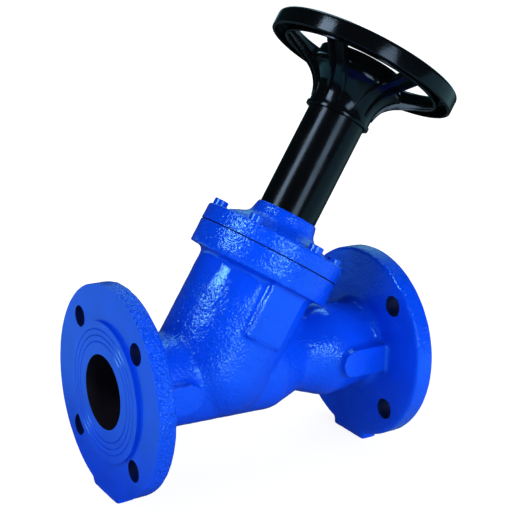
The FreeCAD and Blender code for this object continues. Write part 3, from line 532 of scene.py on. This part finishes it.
def grain_share(material):
    """How strongly the grain shows: little on the upper neck, most on the rims of the flanges."""
    foot = STEM_FOOT.dot(STEM_AXIS)
    along = distance_along(material, tuple(STEM_AXIS))
    above = level(material, along, foot + 0.066, foot + 0.084)
    below = level(material, along, foot + 0.103, foot + 0.099)
    calm = combine(material, "MULTIPLY", combine(material, "MULTIPLY", above, below), 0.85)
    radius = material.node_tree.nodes.new("ShaderNodeVectorMath")
    radius.operation = "LENGTH"
    flat = material.node_tree.nodes.new("ShaderNodeVectorMath")
    flat.operation = "MULTIPLY"
    flat.inputs[1].default_value = (0.0, 1.0, 1.0)
    join_nodes(material, coordinates(material), flat.inputs[0])
    join_nodes(material, flat.outputs["Vector"], radius.inputs[0])
    rim = level(material, radius.outputs["Value"], FLANGE_RADIUS - 0.002, FLANGE_RADIUS - 0.001, 0.0, 1.8)
    before = level(material, distance_along(material, (1.0, 0.0, 0.0)), 0.024, 0.021)
    share = combine(material, "ADD", 1.0, combine(material, "MULTIPLY", rim, before))
    return combine(material, "SUBTRACT", share, calm)


def distance_along(material, towards):
    node = material.node_tree.nodes.new("ShaderNodeVectorMath")
    node.operation = "DOT_PRODUCT"
    node.inputs[1].default_value = towards
    join_nodes(material, coordinates(material), node.inputs[0])
    return node.outputs["Value"]


def cast_paint():
    """Gloss enamel over sand-cast iron: slow swell, orange peel and fine pits."""
    look = bpy.context.scene.valve_look
    base = tuple(look.paint)
    material = new_material("Cast paint", base, look.paint_roughness, specular=0.85)
    shader_socket(material, "Specular Tint").default_value = PAINT_SHEEN
    slow = noise(material, 28.0, 3.0)
    colour = ramp(material, slow, ((0.32, tinted(base, 0.9)), (0.68, tinted(base, 1.06))))
    join_nodes(material, colour, shader_socket(material, "Base Color"))
    swell = noise(material, 130.0, 2.0)
    peel = noise(material, 480.0, 1.0, 0.5)
    pits = level(material, noise(material, 380.0, 1.0), 0.3, 0.4)
    grain = combine(material, "ADD", combine(material, "MULTIPLY", peel, 1.2),
                    combine(material, "MULTIPLY", pits, 0.4))
    height = combine(material, "ADD", combine(material, "MULTIPLY", swell, 0.4), grain)
    height = combine(material, "MULTIPLY", height, grain_share(material))
    set_bump(material, height, look.cast_grain, 1.0)
    rough = level(material, slow, 0.3, 0.7, look.paint_roughness - 0.03, look.paint_roughness + 0.06)
    join_nodes(material, rough, shader_socket(material, "Roughness"))
    return material


def machined_paint():
    look = bpy.context.scene.valve_look
    base = tinted(tuple(look.paint), 0.95)
    material = new_material("Machined paint", base, look.paint_roughness + 0.1)
    shader_socket(material, "Specular Tint").default_value = PAINT_SHEEN
    rings = material.node_tree.nodes.new("ShaderNodeTexWave")
    rings.wave_type = "RINGS"
    rings.rings_direction = "X"
    rings.inputs["Scale"].default_value = 420.0
    rings.inputs["Distortion"].default_value = 0.6
    rings.inputs["Detail"].default_value = 2.0
    join_nodes(material, coordinates(material), rings.inputs["Vector"])
    grain = noise(material, 700.0, 2.0)
    height = combine(material, "ADD", combine(material, "MULTIPLY", rings.outputs["Fac"], 0.25),
                     combine(material, "MULTIPLY", grain, 0.6))
    set_bump(material, height, 0.0001, 0.4)
    slow = noise(material, 30.0, 3.0)
    colour = ramp(material, slow, ((0.3, tinted(base, 0.9)), (0.7, tinted(base, 1.06))))
    join_nodes(material, colour, shader_socket(material, "Base Color"))
    return material


def black_gloss(name, roughness, grain_scale, grain_depth, specular):
    look = bpy.context.scene.valve_look
    material = new_material(name, tuple(look.moulding), roughness, specular=specular)
    shader_socket(material, "Specular Tint").default_value = BLACK_SHEEN
    grain = noise(material, grain_scale, 2.0)
    set_bump(material, grain, grain_depth, 0.5)
    patch = noise(material, 45.0, 3.0)
    rough = level(material, patch, 0.3, 0.75, roughness * 0.8, roughness * 1.5)
    join_nodes(material, rough, shader_socket(material, "Roughness"))
    return material


def turned_metal(name, colour, roughness):
    material = new_material(name, colour, roughness, metallic=1.0)
    streak = noise(material, 900.0, 2.0, 0.5, ((0.0, math.radians(30.0), 0.0), (0.15, 0.15, 1.0)))
    set_bump(material, streak, 0.00006, 0.4)
    rough = level(material, streak, 0.3, 0.7, roughness * 0.8, roughness * 1.25)
    join_nodes(material, rough, shader_socket(material, "Roughness"))
    return material


def plain(name, colour, roughness, grain_scale=900.0, grain_depth=0.00008, specular=0.5):
    material = new_material(name, colour, roughness, specular=specular)
    set_bump(material, noise(material, grain_scale, 2.0), grain_depth, 0.5)
    tone = noise(material, 60.0, 2.0)
    shade = ramp(material, tone, ((0.3, tinted(colour, 0.85)), (0.7, tinted(colour, 1.12))))
    join_nodes(material, shade, shader_socket(material, "Base Color"))
    return material


# Operators, one for each piece or group of like pieces
class VALVE_OT_castings(bpy.types.Operator):
    """Body and bonnet in painted cast iron"""

    bl_idname = "valve.castings"
    bl_label = "Castings"

    def execute(self, context):
        paint = cast_paint()
        machined = machined_paint()
        # Bolt hole walls: the blue paint darkened to a tenth, painted shade inside the holes
        hole = plain("Bolt hole painted shade", tinted(tuple(context.scene.valve_look.paint), 0.1), 0.5, specular=0.2)
        inside = plain("Bare inside", (0.005, 0.004, 0.010), 0.6, 500.0, 0.0004, 0.2)
        cast_body([paint, machined, inside, hole])
        cast_bonnet([paint, machined, inside])
        return {"FINISHED"}


def give_materials(piece, materials, choose):
    piece.data.materials.clear()
    for material in materials:
        piece.data.materials.append(material)
    for face in piece.data.polygons:
        face.material_index = choose(face.center)


def bolt_places():
    reach = BOLT_CIRCLE / math.sqrt(2.0)
    return [(y * reach, z * reach) for y in (-1.0, 1.0) for z in (-1.0, 1.0)]


def in_bolt_hole(place):
    if FLANGE_THICKNESS < place.x < PIPE_LENGTH - FLANGE_THICKNESS:
        return False
    return any(math.hypot(place.y - y, place.z - z) < 0.0098 for y, z in bolt_places())


def rim_region(start, end):
    """Ring over a flange's rim, which keeps its edges crisp."""
    ring = round_bar(FLANGE_REGION_RADIUS, start, end)
    core = round_bar(FLANGE_RADIUS - RIM_REGION_INSET, start - 0.01, end + 0.01)
    cut(ring, core)
    remove(core)
    return ring


def feet_region():
    """Block under both cast feet, which keeps them flat."""
    bpy.ops.object.select_all(action="DESELECT")
    bpy.ops.mesh.primitive_cube_add(size=1.0, location=(PIPE_LENGTH / 2.0, 0.0, FOOT_LEVEL - 0.0097),
                                    scale=(0.4, 0.3, 0.02))
    bpy.ops.object.transform_apply(location=True, rotation=True, scale=True)
    return bpy.context.object


def cast_body(materials):
    model = merged_copy("valve_body", "valve_body_model")
    rough = merged_copy("valve_body", "valve_body_finished")
    far_back = PIPE_LENGTH - FLANGE_THICKNESS
    extra = [
        round_bar(FLANGE_RADIUS, -STOCK, STOCK_ROOT),
        round_bar(FLANGE_RADIUS, PIPE_LENGTH - STOCK_ROOT, PIPE_LENGTH + STOCK),
        round_bar(NECK_FLANGE_RADIUS, NECK_LEVEL - STOCK_ROOT, NECK_LEVEL + STOCK, on_stem=True),
    ]
    plugs = ((HOLE_PLUG_SET_BACK, FLANGE_THICKNESS), (far_back, PIPE_LENGTH - HOLE_PLUG_SET_BACK))
    for place in bolt_places():
        for start, end in plugs:
            extra.append(round_bar(HOLE_PLUG_RADIUS, start, end, beside=place, sides=32))
    fuse_loosely(rough, *extra)
    cast_skin(rough, voxel=0.0019, softening=4, unevenness=0.0006)
    faces = ((-OVERRUN, FACE_REGION_DEPTH), (PIPE_LENGTH - FACE_REGION_DEPTH, PIPE_LENGTH + OVERRUN))
    for start, end in faces:
        machine(rough, round_bar(FLANGE_REGION_RADIUS, start, end), model)
    rims = (
        (-OVERRUN, FLANGE_THICKNESS + RIM_REGION_MARGIN),
        (far_back - RIM_REGION_MARGIN, PIPE_LENGTH + OVERRUN),
    )
    for start, end in rims:
        machine(rough, rim_region(start, end), model)
    holes = (
        (-BORE_OVERRUN, FLANGE_THICKNESS + HOLE_REGION_MARGIN),
        (far_back - HOLE_REGION_MARGIN, PIPE_LENGTH + BORE_OVERRUN),
    )
    for place in bolt_places():
        for start, end in holes:
            machine(rough, round_bar(HOLE_REGION_RADIUS, start, end, beside=place, sides=48), model)
    neck_face = round_bar(NECK_REGION_RADIUS, NECK_LEVEL - 0.0008, NECK_LEVEL + 0.008, on_stem=True)
    machine(rough, neck_face, model)
    for radius, start, end in WAY_REGIONS:
        machine(rough, round_bar(radius, start, end), model)
    cavity = round_bar(CAVITY_REGION_RADIUS, CAVITY_REGION_FOOT, NECK_LEVEL + BORE_OVERRUN, on_stem=True)
    machine(rough, cavity, model)
    machine(rough, feet_region(), model)
    remove(model)

    def choose(centre):
        radius = math.hypot(centre.y, centre.z)
        along = (centre - STEM_FOOT).dot(STEM_AXIS)
        across = (centre - STEM_FOOT - STEM_AXIS * along).length
        inner = radius < 0.0334 and 0.0004 < centre.x < PIPE_LENGTH - 0.0004
        inner = inner or (across < 0.0455 and CAVITY_REGION_FOOT < along < NECK_LEVEL + 0.0005)
        if inner:
            return INSIDE_FACE
        # The walls of the bolt holes get the painted shade
        if in_bolt_hole(centre):
            return HOLE_SHADE_FACE
        if centre.x < 0.0033 or centre.x > PIPE_LENGTH - 0.0033:
            return MACHINED_FACE
        return CAST_FACE

    give_materials(rough, materials, choose)
    return finish_piece(rough, "valve_body", "painted_casting")


def hub_level():
    """Level of the bonnet's top edge outside the sleeve."""
    levels = [0.0]
    for corner in NODES["bonnet"].data.vertices:
        along = (corner.co - STEM_FOOT).dot(STEM_AXIS)
        across = (corner.co - STEM_FOOT - STEM_AXIS * along).length
        if across > 0.0276:
            levels.append(along)
    return max(levels)


def cast_bonnet(materials):
    model = merged_copy("bonnet", "bonnet_model")
    rough = merged_copy("bonnet", "bonnet_finished")
    cover_top = NECK_LEVEL + COVER_THICKNESS
    hub_top = hub_level()
    extra = [
        round_bar(NECK_FLANGE_RADIUS, NECK_LEVEL - 0.001, NECK_LEVEL + STOCK_ROOT, on_stem=True),
        round_bar(0.046, 0.074, NECK_LEVEL + 0.005, on_stem=True),
        round_bar(SLEEVE_SPIGOT_RADIUS, 0.076, hub_top + STOCK, on_stem=True),
    ]
    for place in screw_places():
        extra.append(round_bar(SCREW_PLUG_RADIUS, NECK_LEVEL + 0.003, cover_top, True, place, 32))
    fuse_loosely(rough, *extra)
    cast_skin(rough, voxel=0.0015, softening=4, unevenness=0.0005)
    machine(rough, round_bar(NECK_REGION_RADIUS, NECK_LEVEL - 0.06, NECK_LEVEL + 0.0018, on_stem=True), model)
    machine(rough, round_bar(0.0278, 0.05, hub_top + 0.02, on_stem=True), model)
    machine(rough, round_bar(0.034, hub_top - 0.0006, hub_top + 0.004, on_stem=True), model)
    for place in screw_places():
        region = round_bar(SCREW_REGION_RADIUS, NECK_LEVEL - 0.002, cover_top + 0.004, True, place, 48)
        machine(rough, region, model)
    remove(model)

    def choose(centre):
        along = (centre - STEM_FOOT).dot(STEM_AXIS)
        across = (centre - STEM_FOOT - STEM_AXIS * along).length
        if along < NECK_LEVEL + 0.0009 or across < 0.0264:
            return INSIDE_FACE
        return CAST_FACE

    give_materials(rough, materials, choose)
    return finish_piece(rough, "bonnet", "painted_casting")


def screw_places():
    step = math.radians(60.0)
    angles = [step * (index + 0.5) for index in range(6)]
    return [(SCREW_CIRCLE * math.cos(angle), SCREW_CIRCLE * math.sin(angle)) for angle in angles]


class VALVE_OT_fasteners(bpy.types.Operator):
    """Painted bonnet screws and the gasket under the bonnet"""

    bl_idname = "valve.fasteners"
    bl_label = "Bonnet screws and gasket"

    def execute(self, context):
        look = context.scene.valve_look
        paint = plain("Screw paint", tinted(tuple(look.paint), 0.97), 0.2, 700.0, 0.0003, 0.85)
        shader_socket(paint, "Specular Tint").default_value = PAINT_SHEEN
        dress("bonnet_screws", "painted_screw", paint)
        dress("bonnet_gasket", "gasket", plain("Gasket sheet", (0.002, 0.002, 0.003), 0.9, specular=0.05))
        return {"FINISHED"}


class VALVE_OT_sleeve(bpy.types.Operator):
    """Black sleeve over the spindle, with its top bush"""

    bl_idname = "valve.sleeve"
    bl_label = "Sleeve"

    def execute(self, context):
        gloss = black_gloss("Sleeve gloss", 0.16, 260.0, 0.00006, 0.25)
        dress("sleeve_tube", "sleeve_black", gloss)
        dress("top_bush", "bearing_plastic", plain("Bearing plastic", (0.1, 0.1, 0.1), 0.45))
        return {"FINISHED"}


class VALVE_OT_handwheel(bpy.types.Operator):
    """Moulded handwheel with its centre cap"""

    bl_idname = "valve.handwheel"
    bl_label = "Handwheel"

    def execute(self, context):
        gloss = black_gloss("Wheel gloss", 0.12, 700.0, 0.00008, 0.3)
        dress("handwheel", "wheel_black", gloss, edge=0.0005)
        dress("centre_cap", "wheel_black", gloss)
        return {"FINISHED"}


class VALVE_OT_inner_parts(bpy.types.Operator):
    """Seat, plug, spindle, gland, seals and stop parts inside the valve"""

    bl_idname = "valve.inner_parts"
    bl_label = "Inner parts"

    def execute(self, context):
        bronze = turned_metal("Bronze", (0.62, 0.4, 0.2), 0.28)
        brass = turned_metal("Brass", (0.72, 0.55, 0.27), 0.24)
        steel = turned_metal("Steel", (0.55, 0.55, 0.56), 0.3)
        rubber = plain("Rubber", (0.02, 0.02, 0.02), 0.55)
        fluoropolymer = plain("Seal plastic", (0.8, 0.79, 0.75), 0.4)
        bearing = plain("Washer plastic", (0.12, 0.12, 0.12), 0.45)
        finishes = {
            "bronze": bronze,
            "resistant_brass": brass,
            "steel": steel,
            "seal_rubber": rubber,
            "seal_plastic": fluoropolymer,
            "bearing_plastic": bearing,
        }
        done = {row["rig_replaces"][0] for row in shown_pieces() if "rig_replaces" in row}
        for node in sorted(NODES):
            if node in done:
                continue
            slot = SLOTS[node]
            dress(node, slot, finishes[slot])
        return {"FINISHED"}


class VALVE_OT_stage(bpy.types.Operator):
    """Pale floor, soft studio light and the photograph's camera"""

    bl_idname = "valve.stage"
    bl_label = "Stage"

    def execute(self, context):
        settings = context.scene.valve_stage
        make_floor(settings)
        make_world(settings)
        middle = STUDIO_MIDDLE
        make_softbox("Left softbox", middle, 173.0, 40.0, 1.6, (0.45, 0.75), settings.left_power)
        make_softbox("Front softbox", middle, -98.0, 17.0, 1.7, (0.5, 0.75), settings.front_power)
        make_softbox("Left fill", middle, -163.0, 6.0, 1.7, (0.7, 0.7), settings.left_fill, in_gloss=False)
        make_softbox("Right fill", middle, -74.0, 6.0, 1.8, (2.0, 2.0), settings.right_fill, in_gloss=False)
        make_softbox("Top softbox", middle, 60.0, 62.0, 1.8, (0.8, 0.8), settings.top_power,
                     colour=(0.5, 0.85, 1.0))
        make_camera()
        scene = context.scene
        scene.view_settings.view_transform = "Standard"
        return {"FINISHED"}


def make_floor(settings):
    """Pale floor for the camera, a matt table for the light, and toned surroundings for gloss."""
    bpy.ops.object.select_all(action="DESELECT")
    bpy.ops.mesh.primitive_plane_add(size=settings.floor_size,
                                     location=(STUDIO_MIDDLE.x, 0.0, settings.floor_level))
    floor = bpy.context.object
    floor.name = "Floor"
    material = bpy.data.materials.new("Floor paper")
    material.use_nodes = True
    shader = material.node_tree.nodes["Principled BSDF"]
    shader.inputs["Base Color"].default_value = (0.9, 0.9, 0.9, 1.0)
    shader.inputs["Roughness"].default_value = 0.9
    shader.inputs["Specular IOR Level"].default_value = 0.1
    glow = add_node(material, "ShaderNodeEmission", Strength=1.25)
    seen = add_node(material, "ShaderNodeMixShader")
    reach = material.node_tree.nodes.new("ShaderNodeVectorMath")
    reach.operation = "LENGTH"
    join_nodes(material, coordinates(material), reach.inputs[0])
    share = level(material, reach.outputs["Value"], *SHADOW_FADE, settings.floor_glow, 1.0)
    join_nodes(material, share, seen.inputs[0])
    join_nodes(material, shader.outputs["BSDF"], seen.inputs[1])
    join_nodes(material, glow.outputs["Emission"], seen.inputs[2])
    table = add_node(material, "ShaderNodeBsdfDiffuse", Color=(0.75, 0.75, 0.75, 1.0))
    left_behind = level(material, distance_along(material, (-1.0, 0.0, 0.0)), *BEHIND_FADE)
    in_front = level(material, distance_along(material, (0.3, -0.95, 0.0)), *FRONT_FADE)
    cool = blend_colours(material, left_behind, GLOSS_DARK, GLOSS_PALE)
    tone = blend_colours(material, in_front, cool, GLOSS_FRONT)
    gloss = add_node(material, "ShaderNodeEmission")
    join_nodes(material, tone, gloss.inputs["Color"])
    path = material.node_tree.nodes.new("ShaderNodeLightPath")
    unseen = add_node(material, "ShaderNodeMixShader")
    join_nodes(material, path.outputs["Is Glossy Ray"], unseen.inputs[0])
    join_nodes(material, table.outputs["BSDF"], unseen.inputs[1])
    join_nodes(material, gloss.outputs["Emission"], unseen.inputs[2])
    mix = add_node(material, "ShaderNodeMixShader")
    plainly = combine(material, "MAXIMUM", path.outputs["Is Camera Ray"], path.outputs["Is Transmission Ray"])
    join_nodes(material, plainly, mix.inputs[0])
    join_nodes(material, unseen.outputs["Shader"], mix.inputs[1])
    join_nodes(material, seen.outputs["Shader"], mix.inputs[2])
    output = material.node_tree.nodes["Material Output"]
    join_nodes(material, mix.outputs["Shader"], output.inputs["Surface"])
    floor.data.materials.append(material)
    floor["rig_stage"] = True


def make_world(settings):
    """White for the camera and through glass, a dark toned room for gloss, and an even matt light."""
    world = bpy.data.worlds.new("Studio")
    bpy.context.scene.world = world
    world.use_nodes = True
    nodes = world.node_tree.nodes
    links = world.node_tree.links
    nodes.clear()
    place = nodes.new("ShaderNodeTexCoord")

    def shade(towards, low, high, start, end, tint):
        """A light that goes from start at low to end at high, along one direction."""
        facing = nodes.new("ShaderNodeVectorMath")
        facing.operation = "DOT_PRODUCT"
        links.new(place.outputs["Generated"], facing.inputs[0])
        facing.inputs[1].default_value = towards
        grey = nodes.new("ShaderNodeMapRange")
        grey.interpolation_type = "SMOOTHSTEP"
        grey.inputs["From Min"].default_value = low
        grey.inputs["From Max"].default_value = high
        grey.inputs["To Min"].default_value = start
        grey.inputs["To Max"].default_value = end
        links.new(facing.outputs["Value"], grey.inputs["Value"])
        background = nodes.new("ShaderNodeBackground")
        background.inputs["Color"].default_value = (*tint, 1.0)
        links.new(grey.outputs["Result"], background.inputs["Strength"])
        return background

    def mix(ray, without, within):
        mixed = nodes.new("ShaderNodeMixShader")
        links.new(path.outputs[ray], mixed.inputs[0])
        links.new(without.outputs[0], mixed.inputs[1])
        links.new(within.outputs[0], mixed.inputs[2])
        return mixed

    path = nodes.new("ShaderNodeLightPath")
    white = nodes.new("ShaderNodeBackground")
    white.inputs["Color"].default_value = (1.0, 1.0, 1.0, 1.0)
    fill = nodes.new("ShaderNodeBackground")
    fill.inputs["Strength"].default_value = settings.fill
    room = shade((0.76, 0.62, 0.2), 0.8, 0.98, 0.04, 1.2, GLOSS_PALE)
    whole = mix("Is Glossy Ray", fill, room)
    whole = mix("Is Transmission Ray", whole, white)
    whole = mix("Is Camera Ray", whole, white)
    output = nodes.new("ShaderNodeOutputWorld")
    links.new(whole.outputs["Shader"], output.inputs["Surface"])


def make_softbox(name, target, heading, height, distance, size, power, in_gloss=True, colour=(1.0, 1.0, 1.0)):
    heading = math.radians(heading)
    height = math.radians(height)
    back = Vector((math.cos(heading) * math.cos(height), math.sin(heading) * math.cos(height),
                   math.sin(height)))
    light = bpy.data.lights.new(name, "AREA")
    light.shape = "RECTANGLE"
    light.size = size[0]
    light.size_y = size[1]
    light.energy = power
    light.color = colour
    lamp = bpy.data.objects.new(name, light)
    lamp.location = target + back * distance
    lamp.visible_glossy = in_gloss
    lamp.rotation_mode = "QUATERNION"
    lamp.rotation_quaternion = (-back).to_track_quat("-Z", "Y")
    bpy.context.scene.collection.objects.link(lamp)


def make_camera():
    data = bpy.data.cameras.new("Photograph")
    data.lens = CAMERA_LENS
    data.sensor_width = CAMERA_SENSOR
    data.clip_start = 0.05
    data.clip_end = 50.0
    camera = bpy.data.objects.new("Photograph", data)
    aim = Matrix.Rotation(CAMERA_HEADING, 3, "Z") @ Matrix.Rotation(math.radians(90.0) + CAMERA_DROP, 3, "X")
    aim = aim @ Matrix.Rotation(CAMERA_ROLL, 3, "Z")
    camera.rotation_mode = "QUATERNION"
    camera.rotation_quaternion = aim.to_quaternion()
    camera.location = CAMERA_PLACE
    bpy.context.scene.collection.objects.link(camera)
    bpy.context.scene.camera = camera


class VALVE_PT_panel(bpy.types.Panel):
    """Buttons that build the dressed valve"""

    bl_idname = "VALVE_PT_panel"
    bl_label = "Valve"
    bl_space_type = "VIEW_3D"
    bl_region_type = "UI"
    bl_category = "Valve"

    def draw(self, context):
        layout = self.layout
        for group in (context.scene.valve_look, context.scene.valve_stage):
            for name in group.bl_rna.properties.keys():
                if name not in ("rna_type", "name"):
                    layout.prop(group, name)
        for operator in OPERATORS:
            layout.operator(operator.bl_idname)


OPERATORS = (
    VALVE_OT_castings,
    VALVE_OT_fasteners,
    VALVE_OT_sleeve,
    VALVE_OT_handwheel,
    VALVE_OT_inner_parts,
    VALVE_OT_stage,
)
CLASSES = (ValveLook, ValveStage, *OPERATORS, VALVE_PT_panel)


def register():
    for item in CLASSES:
        bpy.utils.register_class(item)
    bpy.types.Scene.valve_look = bpy.props.PointerProperty(type=ValveLook)
    bpy.types.Scene.valve_stage = bpy.props.PointerProperty(type=ValveStage)


def unregister():
    del bpy.types.Scene.valve_look
    del bpy.types.Scene.valve_stage
    for item in reversed(CLASSES):
        bpy.utils.unregister_class(item)


def main():
    register()
    bpy.ops.valve.castings()
    bpy.ops.valve.fasteners()
    bpy.ops.valve.sleeve()
    bpy.ops.valve.handwheel()
    bpy.ops.valve.inner_parts()
    bpy.ops.valve.stage()


if __name__ == "__main__":
    main()
